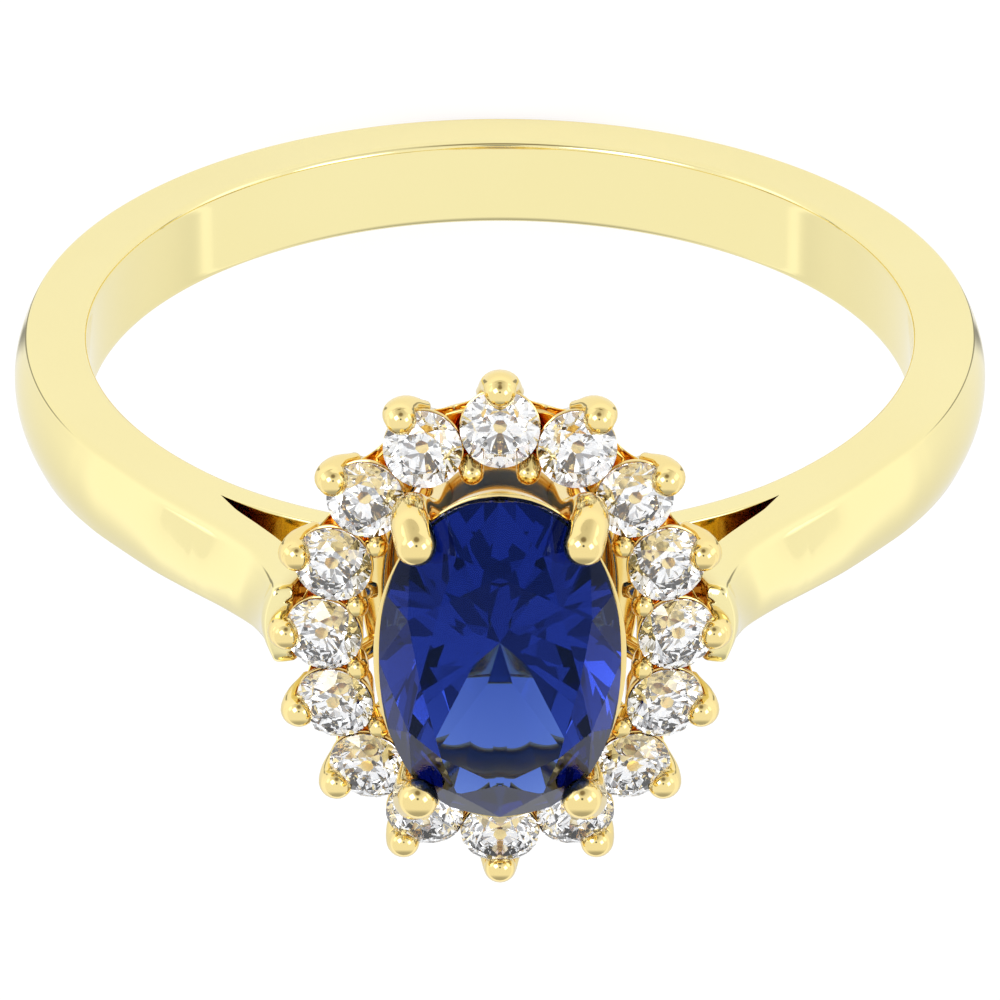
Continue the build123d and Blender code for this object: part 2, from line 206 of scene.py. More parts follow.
# ------------------------------------------------------------------ mesh helpers
def to_object(name, verts, faces, mat, smooth=True, angle=None):
    me = bpy.data.meshes.new(name)
    me.from_pydata([tuple(float(c) * MM for c in v) for v in verts], [], [tuple(int(i) for i in f) for f in faces])
    bm = bmesh.new()
    bm.from_mesh(me)
    bmesh.ops.remove_doubles(bm, verts=bm.verts, dist=1e-8)
    bmesh.ops.recalc_face_normals(bm, faces=bm.faces)
    bm.to_mesh(me)
    bm.free()
    me.materials.append(mat)
    for p in me.polygons:
        p.use_smooth = smooth
    if angle is not None:
        me.set_sharp_from_angle(angle=math.radians(angle))
    ob = bpy.data.objects.new(name, me)
    bpy.context.scene.collection.objects.link(ob)
    return ob


def keep(ob, slot, *nodes):
    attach(ob, "root")
    if nodes:
        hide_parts(*nodes)
    return ob


def merge(parts):
    verts, faces, base = [], [], 0
    for v, f in parts:
        verts.extend(list(v))
        faces.extend([[i + base for i in q] for q in f])
        base += len(v)
    return verts, faces


def oval_sweep(a, b, profile, n=256):
    """Closed ring: profile points (offset out from the ellipse, z) carried round it."""
    verts, faces, k = [], [], len(profile)
    for i in range(n):
        t = 2 * math.pi * i / n
        p = np.array([a * math.sin(t), b * math.cos(t)])
        m = np.array([p[0] / a**2, p[1] / b**2])
        m /= np.linalg.norm(m)
        for q, z in profile:
            verts.append((p[0] + m[0] * q, p[1] + m[1] * q, z))
    for i in range(n):
        for j in range(k):
            faces.append((i * k + j, i * k + (j + 1) % k, ((i + 1) % n) * k + (j + 1) % k, ((i + 1) % n) * k + j))
    return verts, faces


def rounded(points, r, seg=5):
    """A closed polygon in (q, z) with each corner rounded by r."""
    out, n = [], len(points)
    for i in range(n):
        p0, p, p1 = (np.array(points[(i + d) % n], float) for d in (-1, 0, 1))
        rr = r if np.isscalar(r) else r[i]
        a = p + (p0 - p) / np.linalg.norm(p0 - p) * rr
        b = p + (p1 - p) / np.linalg.norm(p1 - p) * rr
        for u in np.linspace(0, 1, seg + 1):
            out.append(tuple((1 - u) ** 2 * a + 2 * u * (1 - u) * p + u**2 * b))
    return out


def smooth_path(points, n):
    """Centripetal Catmull-Rom through the points, n samples."""
    p = np.array(points, float)
    p = np.vstack([2 * p[0] - p[1], p, 2 * p[-1] - p[-2]])
    out = []
    segs = len(p) - 3
    for u in np.linspace(0, segs, n):
        i = min(int(u), segs - 1)
        p0, p1, p2, p3 = p[i:i + 4]
        t0 = 0.0
        t1 = t0 + np.linalg.norm(p1 - p0) ** 0.5
        t2 = t1 + np.linalg.norm(p2 - p1) ** 0.5
        t3 = t2 + np.linalg.norm(p3 - p2) ** 0.5
        t = t1 + (u - i) * (t2 - t1)
        a1 = (t1 - t) / (t1 - t0) * p0 + (t - t0) / (t1 - t0) * p1
        a2 = (t2 - t) / (t2 - t1) * p1 + (t - t1) / (t2 - t1) * p2
        a3 = (t3 - t) / (t3 - t2) * p2 + (t - t2) / (t3 - t2) * p3
        b1 = (t2 - t) / (t2 - t0) * a1 + (t - t0) / (t2 - t0) * a2
        b2 = (t3 - t) / (t3 - t1) * a2 + (t - t1) / (t3 - t1) * a3
        out.append((t2 - t) / (t2 - t1) * b1 + (t - t1) / (t2 - t1) * b2)
    return np.array(out)


def claw_mesh(points, wide, thick, side, n=30, m=20, tip=8):
    """A tapering claw: half-widths wide (along side) and thick, one per control point, closed by a domed tip."""
    path = smooth_path(points, n)
    u = np.linspace(0, len(points) - 1, n)
    rw = np.interp(u, range(len(points)), wide)
    rt = np.interp(u, range(len(points)), thick)
    tang = np.gradient(path, axis=0)
    tang /= np.linalg.norm(tang, axis=1)[:, None]
    side = np.array(side, float)
    rings, verts, faces = [], [], []

    def ring(c, t, a, b):
        s = side - t * (side @ t)
        s /= np.linalg.norm(s)
        o = np.cross(t, s)
        first = len(verts)
        for j in range(m):
            w = 2 * math.pi * j / m
            verts.append(tuple(c + s * a * math.cos(w) + o * b * math.sin(w)))
        rings.append(first)

    for i in range(n):
        ring(path[i], tang[i], rw[i], rt[i])
    reach = 0.5 * (rw[-1] + rt[-1])
    for k in range(1, tip):
        w = 0.5 * math.pi * k / tip
        ring(path[-1] + tang[-1] * reach * math.sin(w), tang[-1], rw[-1] * math.cos(w), rt[-1] * math.cos(w))
    for a, b in zip(rings, rings[1:]):
        for j in range(m):
            faces.append((a + j, a + (j + 1) % m, b + (j + 1) % m, b + j))
    top = len(verts)
    verts.append(tuple(path[-1] + tang[-1] * reach))
    foot = len(verts)
    verts.append(tuple(path[0]))
    for j in range(m):
        faces.append((rings[-1] + j, rings[-1] + (j + 1) % m, top))
        faces.append((rings[0] + (j + 1) % m, rings[0] + j, foot))
    return verts, faces


# ------------------------------------------------------------------ stones: exact facets from their planes
def convex(planes):
    rows = np.array([p[0] for p in planes], float)
    d = np.array([p[1] for p in planes], float)
    size = np.linalg.norm(rows, axis=1)
    rows, d = rows / size[:, None], d / size
    n = len(rows)
    i, j, k = np.array([(i, j, k) for i in range(n) for j in range(i + 1, n) for k in range(j + 1, n)]).T
    m = np.stack([rows[i], rows[j], rows[k]], axis=1)
    ok = np.abs(np.linalg.det(m)) > 1e-7
    m, r = m[ok], np.stack([d[i], d[j], d[k]], axis=1)[ok]
    v = np.linalg.solve(m, r[..., None])[..., 0]
    v = v[(v @ rows.T <= d + 1e-8).all(axis=1)]
    _, first = np.unique(np.round(v, 6), axis=0, return_index=True)
    kept = []
    for p in v[np.sort(first)]:
        if all(np.linalg.norm(p - q) > 1e-5 for q in kept):
            kept.append(p)
    v = np.array(kept)
    faces = []
    for a, b in zip(rows, d):
        on = np.where(np.abs(v @ a - b) < 2e-6)[0]
        if len(on) < 3:
            continue
        c = v[on].mean(axis=0)
        e = v[on[0]] - c
        e /= np.linalg.norm(e)
        w = np.cross(a, e)
        ang = np.arctan2((v[on] - c) @ w, (v[on] - c) @ e)
        faces.append([int(q) for q in on[np.argsort(ang)]])
    return v, faces


def plane3(p, q, r):
    n = np.cross(np.subtract(q, p), np.subtract(r, p))
    d = float(n @ np.array(p, float))
    return (n, d) if d > 0 else (-n, -d)


def brilliant(crown, pavilion, girdle, table, star, lower, sides):
    tc, tp = crown / (1 - table), pavilion
    at = lambda deg, r, z: (r * math.cos(math.radians(deg)), r * math.sin(math.radians(deg)), z)
    planes = [((0, 0, 1), girdle + crown)]
    for k in range(8):
        c, s = math.cos(math.radians(45 * k)), math.sin(math.radians(45 * k))
        planes.append(((tc * c, tc * s, 1), girdle + tc))
        planes.append(((tp * c, tp * s, -1), girdle + tp))
    c225 = math.cos(math.radians(22.5))
    rs = table * c225 + (1 - table * c225) * star
    zs = girdle + tc * (1 - rs * c225)
    rl = 1 - lower
    zl = -(girdle + tp * (1 - rl * c225))
    for k in range(8):
        mid = 45 * k + 22.5
        tip, low = at(mid, rs, zs), at(mid, rl, zl)
        planes.append(plane3(at(45 * k, table, girdle + crown), at(45 * k + 45, table, girdle + crown), tip))
        for end in (45 * k, 45 * k + 45):
            planes.append(plane3(tip, at(mid, 1, girdle), at(end, 1, girdle)))
            planes.append(plane3(low, at(mid, 1, -girdle), at(end, 1, -girdle)))
    for k in range(sides):
        w = 2 * math.pi * k / sides
        planes.append(((math.cos(w), math.sin(w), 0), 1.0))
    return convex(planes)


spots = [ellipse_point(HALO_A, HALO_B, i / 16) for i in range(16)]
dv, df = brilliant(0.32, 0.86, 0.035, 0.57, 0.5, 0.76, 32)
dv = dv * DIA_R
for i, (p, m) in enumerate(spots):
    t = HALO_TILT
    zc = np.array([math.sin(t) * m[0], math.sin(t) * m[1], math.cos(t)])
    xc = np.array([math.cos(t) * m[0], math.cos(t) * m[1], -math.sin(t)])
    rot = np.stack([xc, np.cross(zc, xc), zc], axis=1)
    v = dv @ rot.T
    v = v + dia_mid[i] - (v.min(axis=0) + v.max(axis=0)) / 2
    keep(to_object("stone_%02d" % (i + 1), v, df, diamond_mat, smooth=False), "diamond", "diamond_%02d" % (i + 1))

def oval_stone(a, b, power, crown, pavilion, girdle, table, star_z, low_z, sides):
    """Oval brilliant whose outline is a little fuller than an ellipse; every facet stays flat."""
    def rim(deg):
        c, q = math.cos(math.radians(deg)), math.sin(math.radians(deg))
        x, y = a * math.copysign(abs(c) ** (2 / power), c), b * math.copysign(abs(q) ** (2 / power), q)
        m = np.array([math.copysign(abs(x / a) ** (power - 1) / a, x), math.copysign(abs(y / b) ** (power - 1) / b, y)])
        m /= np.linalg.norm(m)
        p = np.array([x, y])
        return p, m, float(p @ m)

    planes = [((0, 0, 1), girdle + crown)]
    mains = [rim(45 * k) for k in range(8)]
    for p, m, h in mains:
        sc, sp = (1 - table) * h / crown, h / pavilion
        planes.append(((m[0], m[1], sc), h + sc * girdle))
        planes.append(((m[0], m[1], -sp), h + sp * girdle))

    def meet(k, zz):
        rows, rhs = [], []
        for p, m, h in (mains[k], mains[(k + 1) % 8]):
            rows.append(m)
            rhs.append(h - (1 - table) * h / crown * (zz - girdle) if zz > 0 else h + h / pavilion * (zz + girdle))
        q = np.linalg.solve(np.array(rows), np.array(rhs))
        return (q[0], q[1], zz)

    top = girdle + crown
    for k in range(8):
        tip, low = meet(k, girdle + star_z * crown), meet(k, -girdle - low_z * pavilion)
        p0, p1 = mains[k][0], mains[(k + 1) % 8][0]
        pm = rim(45 * k + 22.5)[0]
        planes.append(plane3((*(table * p0), top), (*(table * p1), top), tip))
        for pe in (p0, p1):
            planes.append(plane3(tip, (*pm, girdle), (*pe, girdle)))
            planes.append(plane3(low, (*pm, -girdle), (*pe, -girdle)))
    for k in range(sides):
        p, m, h = rim(360.0 * k / sides)
        planes.append(((m[0], m[1], 0), h))
    return convex(planes)


SAP_Z = sap_hi[2] - 0.78 - 0.06                  # the crown and half the girdle lie above it
sv, sf = oval_stone(SAP_A, SAP_B, 2.25, 0.78, 2.05, 0.06, 0.66, 0.72, 0.78, 72)
sv[:, 2] += SAP_Z
keep(to_object("sapphire", sv, sf, sapphire_mat, smooth=False), "sapphire", "centre_sapphire")

# ------------------------------------------------------------------ shank
SHOULDER = [(38.0, 9.68), (46.0, 9.79), (50.0, 9.87), (54.0, 9.98), (57.0, 10.09), (60.0, 10.26),
            (63.0, 10.50), (65.0, 10.77), (66.6, 11.09), (67.6, 11.38), (68.2, 11.66)]
WINDOW_TIP = 52.6
WINDOW_EDGE = [(5.08, 7.76), (4.66, 8.31), (4.20, 8.97)]
ARM_TOP = (3.66, 10.04)


def polar(deg, r):
    return np.array([r * math.cos(math.radians(deg)), r * math.sin(math.radians(deg))])


def resample(points, n):
    p = smooth_path([(*q, 0.0) for q in points], 800)[:, :2]
    s = np.concatenate([[0], np.cumsum(np.linalg.norm(np.diff(p, axis=0), axis=1))])
    want = np.linspace(0, s[-1], n)
    return np.stack([np.interp(want, s, p[:, 0]), np.interp(want, s, p[:, 1])], axis=1)


N_ARM, N_BAND, N_RAIL, M = 60, 220, 90, 26
outer_shoulder = [polar(30.0, R_EDGE), polar(34.0, R_EDGE)] + [polar(a, r) for a, r in SHOULDER]
full = resample(outer_shoulder, 1200)
ang_full = np.degrees(np.arctan2(full[:, 1], full[:, 0]))
tip_i = int(np.argmin(np.abs(ang_full - (WINDOW_TIP + 0.6))))
arm_outer = full[tip_i:]
arm_outer = arm_outer[np.linspace(0, len(arm_outer) - 1, N_ARM).astype(int)]
arm_outer = resample([tuple(q) for q in arm_outer], N_ARM)
tip = polar(WINDOW_TIP, R_RAIL)
arm_inner = resample([tuple(tip)] + WINDOW_EDGE + [ARM_TOP, (3.86, 10.40), (3.98, 10.74)], N_ARM)


def width_at(z):
    """The shoulders narrow a little towards the head."""
    u = min(max((z - 5.0) / 5.5, 0.0), 1.0)
    return W - 0.09 * (3 * u * u - 2 * u**3)


def row_out(p, q, w, crown, e):
    """Outer face from +w to -w: rounded edge, dome, rounded edge. p is the inner point, q the outer edge point."""
    out = (q - p) / np.linalg.norm(q - p)
    pts = []
    up = crown * (1 - ((w - e) / w) ** 2)
    for u in np.linspace(0, 1, 6):
        y = (1 - u) ** 2 * w + 2 * u * (1 - u) * w + u**2 * (w - e)
        r = (1 - u) ** 2 * (-e) + 2 * u * (1 - u) * (up * 0.6) + u**2 * up
        pts.append((y, r))
    for y in np.linspace(w - e, 0, 9)[1:]:
        pts.append((y, crown * (1 - (y / w) ** 2)))
    pts = [(w, -e - 0.03)] + pts
    pts = pts + [(-y, r) for y, r in pts[-2::-1]]
    return [(q[0] + out[0] * r, y, q[1] + out[1] * r) for y, r in pts]


def row_face(q, out, w, e, count):
    """A flat face from +w to -w at q, facing out, with its two edges rounded by e."""
    pts = [(w, -e - 0.03)]
    for u in np.linspace(0, 1, 6):
        pts.append((w - e * u**2, -e * (1 - u) ** 2))
    extra = count // 2 - len(pts) + 1
    for y in np.linspace(w - e, 0, extra + 1)[1:]:
        pts.append((y, 0.0))
    pts = pts + [(-y, r) for y, r in pts[-2::-1]]
    return [(q[0] + out[0] * r, y, q[1] + out[1] * r) for y, r in pts]


COUNT = len(row_out(np.array([0, 0.0]), np.array([1.0, 0]), 1.0, 0.2, 0.1))
verts = []


def push(row):
    first = len(verts)
    verts.extend(row)
    return list(range(first, first + len(row)))


faces = []


def skin(a, b):
    for j in range(len(a) - 1):
        faces.append((a[j], a[j + 1], b[j + 1], b[j]))


def edge_round(z):
    u = min(max((z - 2.0) / 7.0, 0.0), 1.0)
    return 0.07 + 0.17 * u


def bore_row(deg, w):
    d = polar(deg, 1.0)
    return row_face(d * R_BORE, -d, w, 0.15, COUNT)


def station(deg, q):
    """Band station: bore row, mid points on both sides, outer row."""
    w = width_at(q[1])
    b = push(bore_row(deg, w))
    d = polar(deg, R_RAIL)
    m = push([(d[0], w, d[1]), (d[0], -w, d[1])])
    o = push(row_out(polar(deg, R_BORE), q, w, CROWN, edge_round(q[1])))
    return b, m, o


band = []
low = full[:tip_i + 1]
low_deg = np.degrees(np.arctan2(low[:, 1], low[:, 0]))
stations = [(WINDOW_TIP, low[-1])]
for a in np.linspace(WINDOW_TIP, 30.0, 40)[1:]:
    k = int(np.argmin(np.abs(low_deg - a - 0.6 * (a - 30.0) / (WINDOW_TIP - 30.0))))
    stations.append((a, low[k]))
for a in np.linspace(30.0, -210.0, N_BAND)[1:-1]:
    stations.append((a, polar(a, R_EDGE)))
mirror = [(180.0 - a, np.array([-q[0], q[1]])) for a, q in stations[:40]][::-1]
stations += [(a - 360.0, q) for a, q in mirror]
for a, q in stations:
    band.append(station(a, q))
for (b0, m0, o0), (b1, m1, o1) in zip(band, band[1:]):
    skin(b0, b1)
    skin(o1, o0)
    for s, c in ((0, 0), (1, -1)):
        faces.append((b0[c], b1[c], m1[s], m0[s]))
        faces.append((m0[s], m1[s], o1[c], o0[c]))


def tip_row(st, deg, w):
    d = polar(deg, R_RAIL)
    ys = [v[1] for v in row_face(d, d, w, 1e-4, COUNT)]
    mid = push([(d[0], y, d[1]) for y in ys[1:-1]])
    return [st[1][0]] + mid + [st[1][1]]


tips = [tip_row(band[0], WINDOW_TIP, width_at(stations[0][1][1])), tip_row(band[-1], 180.0 - WINDOW_TIP, width_at(stations[-1][1][1]))]

# finger rail, from one window tip over the top to the other
prev_b, prev_t = band[0][0], tips[0]
for i, a in enumerate(np.linspace(WINDOW_TIP, 180.0 - WINDOW_TIP, N_RAIL)[1:]):
    last = i == N_RAIL - 2
    if last:
        b, tr = band[-1][0], tips[1]
    else:
        u = min((i + 1) / 8.0, (N_RAIL - 2 - i) / 8.0, 1.0)
        d = polar(a, R_RAIL)
        w = width_at(stations[0][1][1])
        b = push(bore_row(a, w))
        tr = push(row_face(d, d / R_RAIL, w, max(0.09 * u, 1e-3), COUNT))
    skin(b, prev_b)
    skin(prev_t, tr)
    faces.append((prev_b[0], b[0], tr[0], prev_t[0]))
    faces.append((b[-1], prev_b[-1], prev_t[-1], tr[-1]))
    prev_b, prev_t = b, tr

# shoulders, from the window tips up to the gallery
for sign, st, trow in ((1, band[0], tips[0]), (-1, band[-1], tips[1])):
    prev_i, prev_o = trow, st[2]
    for i in range(1, N_ARM):
        p, q = arm_inner[i].copy(), arm_outer[i].copy()
        w = width_at(q[1])
        u = min(i / 8.0, 1.0)
        out = (q - p) / np.linalg.norm(q - p)
        e = edge_round(q[1])
        shut = i / (N_ARM - 1.0)
        soft = 1.0 if shut < 0.93 else math.sqrt(max(1 - ((shut - 0.93) / 0.07) ** 2, 0.0))
        thick = np.linalg.norm(q - p)
        e_in = min(max(0.09 * u, 1e-3), 0.2 * thick)
        w_now = w - 0.22 * (1 - soft)
        p[0] *= sign
        q[0] *= sign
        out2 = np.array([out[0] * sign, out[1]])
        crown = CROWN * (0.35 + 0.65 * soft) * min(1.0, thick / 0.5)
        ri = push(row_face(p, -out2, w_now, e_in, COUNT))
        ro = push(row_out(p, q, w_now, crown, min(e, 0.35 * thick)))
        skin(prev_i, ri)
        skin(ro, prev_o)
        faces.append((prev_i[0], ri[0], ro[0], prev_o[0]))
        faces.append((ri[-1], prev_i[-1], prev_o[-1], ro[-1]))
        prev_i, prev_o = ri, ro
    for j in range(COUNT - 1):
        faces.append((prev_i[j], prev_i[j + 1], prev_o[j + 1], prev_o[j]))

shank = keep(to_object("shank_body", verts, faces, gold, angle=50), "gold", "shank")

# ------------------------------------------------------------------ head metal
lo, hi = box_mm("base_rail")
a, b, t = hi[0] - 0.25, hi[1] - 0.25, 0.25
zb, zt = lo[2], hi[2]
keep(to_object("base_oval", *oval_sweep(a, b, rounded([(t, zt), (-t, zt), (-t - 0.02, zt - 0.42), (t - 0.06, zt - 0.42)], 0.10)), gold_head_shaded, angle=50), "gold", "base_rail")
lo, hi = box_mm("inner_rail")
ia, ib = hi[0] - 0.31, 2.47
keep(to_object("inner_oval", *oval_sweep(ia, ib, rounded([(0.31, zt - 0.02), (-0.31, zt - 0.02), (-0.31, zt - 0.40), (0.31, zt - 0.40)], 0.18)), gold_inside_shaded, angle=50), "gold", "inner_rail")
lo, hi = box_mm("seat_rail")
sa, sb, sz = hi[0], hi[1], hi[2]
foot = 0.45 + 0.13
keep(to_object("seat_oval", *oval_sweep(sa, sb, rounded([(0.0, sz), (-0.20, sz), (-0.32, sz - 0.25), (-foot - 0.28, lo[2]), (-foot, lo[2])], [0.06, 0.04, 0.03, 0.05, 0.07])), gold_head_shaded, angle=50), "gold", "seat_rail")

# halo gallery: beam and sixteen cups
beam = oval_sweep(HALO_A, HALO_B, rounded([(0.24, 10.50), (-0.46, 10.50), (-0.42, 10.08), (0.18, 10.08)], 0.10), n=320)
WALL_LOW, WALL_TOP, SCALLOP_LOW = 10.30, 10.98, 10.46


def wall_ring(n=768):
    """Thin wall round the outside of the halo: high at each claw, dipping between the stones."""
    verts, faces, k = [], [], 0
    for i in range(n):
        p, m = ellipse_point(HALO_A, HALO_B, i / n)
        phase = 16.0 * i / n
        off = abs(phase - round(phase)) * 24.93 / 16
        h = 0.5 + 0.5 * math.cos(2 * math.pi * phase)
        top = SCALLOP_LOW + (WALL_TOP - SCALLOP_LOW) * h
        qo = 0.33 + 0.48 * h ** 1.2
        qi = max(qo - 0.24 - 0.10 * (1 - h), math.sqrt(max(0.0, 0.765**2 - off**2)) * math.cos(HALO_TILT) - 0.01)
        qi = min(qi, qo - 0.05)
        prof = rounded([(qo, top), (qi, top), (-0.04, WALL_LOW - 0.04), (0.24, WALL_LOW - 0.04)], [min(0.05, 0.45 * (qo - qi)), min(0.02, 0.45 * (qo - qi)), 0.04, 0.08])
        k = len(prof)
        for q, z in prof:
            verts.append((p[0] + m[0] * q, p[1] + m[1] * q, z))
    for i in range(n):
        for j in range(k):
            faces.append((i * k + j, i * k + (j + 1) % k, ((i + 1) % n) * k + (j + 1) % k, ((i + 1) % n) * k + j))
    return verts, faces


parts = [beam, wall_ring()]
outer = [(0.55, -0.88), (0.60, -0.80), (0.755, -0.20), (0.775, -0.13), (0.77, -0.10), (0.75, -0.09), (0.725, -0.11), (0.70, -0.16)]
inner = [(0.30, -0.56), (0.24, -0.66), (0.24, -0.86), (0.27, -0.90), (0.50, -0.90)]
prof = outer + inner
for i, (p, m) in enumerate(spots):
    zc = np.array([math.sin(HALO_TILT) * m[0], math.sin(HALO_TILT) * m[1], math.cos(HALO_TILT)])
    xc = np.array([math.cos(HALO_TILT) * m[0], math.cos(HALO_TILT) * m[1], -math.sin(HALO_TILT)])
    yc = np.cross(zc, xc)
    org = np.array([p[0], p[1], HALO_Z])
    cv, cf, k, n = [], [], len(prof), 48
    for s in range(n):
        w = 2 * math.pi * s / n
        for r, h in prof:
            cv.append(tuple(org + xc * r * math.cos(w) + yc * r * math.sin(w) + zc * h))
    for s in range(n):
        for j in range(k):
            cf.append((s * k + j, s * k + (j + 1) % k, ((s + 1) % n) * k + (j + 1) % k, ((s + 1) % n) * k + j))
    parts.append((cv, cf))
gallery = keep(to_object("halo_cups", *merge(parts), gold_head_shaded, angle=50), "gold", "halo_gallery")

# halo claws: broad at the cup, bending over the stone's edge
parts = []
for i, (p, m) in enumerate(spots):
    q = 0.75 + 0.08 * m[1] ** 2
    at = lambda out, zz: (p[0] + m[0] * out, p[1] + m[1] * out, zz)
    bp, _ = ellipse_point(box_mm("base_rail")[1][0] - 0.25, box_mm("base_rail")[1][1] - 0.25, i / 16)
    pts = [(bp[0], bp[1], zt - 0.10), at(0.32, 10.06), at(0.46, 10.40), at(q - 0.04, 10.72), at(q + 0.01, 10.95), at(q - 0.04, 11.05)]
    parts.append(claw_mesh(pts, [0.20, 0.26, 0.46, 0.38, 0.325, 0.305], [0.20, 0.20, 0.22, 0.27, 0.31, 0.30], (-m[1], m[0], 0), n=36, m=24))
keep(to_object("halo_claw_set", *merge(parts), gold_head_shaded), "gold", "halo_claws")

# inner halo claws
parts = []
for i in range(16):
    if i in (1, 6, 9, 14):
        continue
    p, m = ellipse_point(HALO_A, HALO_B, (i + 0.5) / 16)
    foot = (p[0] - m[0] * 0.36, p[1] - m[1] * 0.36, 10.30)
    mid = (p[0] - m[0] * 0.56, p[1] - m[1] * 0.56, 10.75)
    inset = 0.62 + 0.20 * m[1] ** 2
    top = (p[0] - m[0] * inset, p[1] - m[1] * inset, 11.17)
    parts.append(claw_mesh([foot, mid, top], [0.22, 0.28, 0.235], [0.19, 0.23, 0.22], (-m[1], m[0], 0), n=12, m=16, tip=6))
keep(to_object("halo_pin_set", *merge(parts), gold_head_shaded), "gold", "halo_pins")

# centre claws
for name, sx, sy in (("ne", 1, 1), ("nw", -1, 1), ("se", 1, -1), ("sw", -1, -1)):
    lo, hi = box_mm("centre_claw_" + name)
    pts = [(1.22, 2.10, zt - 0.12), (1.42, 2.52, 10.90), (1.66, 3.00, 11.60), (1.69, 3.04, 12.12), (1.58, 2.78, 12.56)]
    pts = [(x * sx, y * sy, zz) for x, y, zz in pts]
    v, f = claw_mesh(pts, [0.32, 0.33, 0.36, 0.395, 0.40], [0.32, 0.33, 0.36, 0.38, 0.39], (-0.6 * sy, 0.8 * sx, 0), n=34, m=28, tip=10)
    keep(to_object("centre_claw_%s_piece" % name, v, f, gold_head_shaded), "gold", "centre_claw_" + name)

# ------------------------------------------------------------------ stage
floor_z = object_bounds()[0][2] - 0.00002
bpy.ops.mesh.primitive_plane_add(size=4.0, location=(0, 0, floor_z))
floor = bpy.context.object
floor.name = "floor"
fmat, nt, bsdf = material("floor_pale")
grain = add(nt, "ShaderNodeTexNoise", Scale=30.0, Detail=2.0)
tone = add(nt, "ShaderNodeValToRGB")
tone.color_ramp.elements[0].color = (0.24, 0.24, 0.24, 1)
tone.color_ramp.elements[1].color = (0.26, 0.26, 0.26, 1)
nt.links.new(grain.outputs["Fac"], tone.inputs["Fac"])
nt.links.new(tone.outputs["Color"], bsdf.inputs["Base Color"])
bsdf.inputs["Roughness"].default_value = 0.9
bsdf.inputs["Specular IOR Level"].default_value = 0.0
# The floor glows: camera rays see an even glow of 0.80, but all other rays see a painted light, a glow running from
# 0.52 on the -Y side to 0.73 on the +Y side near the ring and rising to 0.84 further out, so the gold's outer faces
# mirror a dimmer floor than its side faces.
bsdf.inputs["Emission Color"].default_value = (1, 1, 1, 1)
path = add(nt, "ShaderNodeLightPath")
where = add(nt, "ShaderNodeTexCoord")
split = add(nt, "ShaderNodeSeparateXYZ")
nt.links.new(where.outputs["Object"], split.inputs["Vector"])
slope = add(nt, "ShaderNodeMapRange", interpolation_type="SMOOTHSTEP")
slope.inputs["From Min"].default_value, slope.inputs["From Max"].default_value = -0.030, 0.012
slope.inputs["To Min"].default_value, slope.inputs["To Max"].default_value = 0.52, 0.73
far = add(nt, "ShaderNodeVectorMath", operation="LENGTH")
nt.links.new(where.outputs["Object"], far.inputs[0])
reach = add(nt, "ShaderNodeMapRange", interpolation_type="SMOOTHSTEP")
reach.inputs["From Min"].default_value, reach.inputs["From Max"].default_value = 0.022, 0.075
nt.links.new(far.outputs["Value"], reach.inputs["Value"])
rise = add(nt, "ShaderNodeMix", data_type="FLOAT")
nt.links.new(reach.outputs["Result"], rise.inputs["Factor"])
nt.links.new(slope.outputs["Result"], rise.inputs["A"])
rise.inputs["B"].default_value = 0.84
nt.links.new(split.outputs["Y"], slope.inputs["Value"])


def calc(op, a, b=None):
    n = add(nt, "ShaderNodeMath", operation=op)
    for k, v in enumerate((a, b)):
        if v is None:
            continue
        if isinstance(v, (int, float)):
            n.inputs[k].default_value = v
        else:
            nt.links.new(v, n.inputs[k])
    return n.outputs[0]


def ease(value, low, high):
    n = add(nt, "ShaderNodeMapRange", interpolation_type="SMOOTHSTEP")
    n.inputs["From Min"].default_value, n.inputs["From Max"].default_value = min(low, high), max(low, high)
    if low > high:
        n.inputs["To Min"].default_value, n.inputs["To Max"].default_value = 1.0, 0.0
    nt.links.new(value, n.inputs["Value"])
    return n.outputs["Result"]


# painted reflection: a dark card-shaped patch on each side of the ring, cut into the floor's glow for all but camera
# rays, which only the shank's outer edges mirror
across = calc("ABSOLUTE", split.outputs["X"])
line = calc("MULTIPLY", calc("SUBTRACT", across, 0.015), 0.70)
away = calc("ABSOLUTE", calc("SUBTRACT", split.outputs["Y"], line))
painted_dark_reflection = calc("MULTIPLY", ease(away, 0.0036, 0.0020), calc("MULTIPLY", ease(across, 0.0118, 0.0132), ease(across, 0.034, 0.026)))
dark = add(nt, "ShaderNodeMix", data_type="FLOAT")
nt.links.new(calc("MULTIPLY", painted_dark_reflection, 0.9), dark.inputs["Factor"])
nt.links.new(rise.outputs["Result"], dark.inputs["A"])
dark.inputs["B"].default_value = 0.0
pick = add(nt, "ShaderNodeMix", data_type="FLOAT")
nt.links.new(path.outputs["Is Camera Ray"], pick.inputs["Factor"])
nt.links.new(dark.outputs["Result"], pick.inputs["A"])
pick.inputs["B"].default_value = 0.80
nt.links.new(pick.outputs["Result"], bsdf.inputs["Emission Strength"])
floor.data.materials.append(fmat)

E = 0.48461
B = Vector((0, math.sin(E), math.cos(E)))
U = Vector((0, math.cos(E), -math.sin(E)))
TBL = Vector((0, -math.sin(E), math.cos(E)))

world = bpy.data.worlds.new("studio")
bpy.context.scene.world = world
world.use_nodes = True
nt = world.node_tree
bg = nt.nodes["Background"]
coord = add(nt, "ShaderNodeTexCoord")


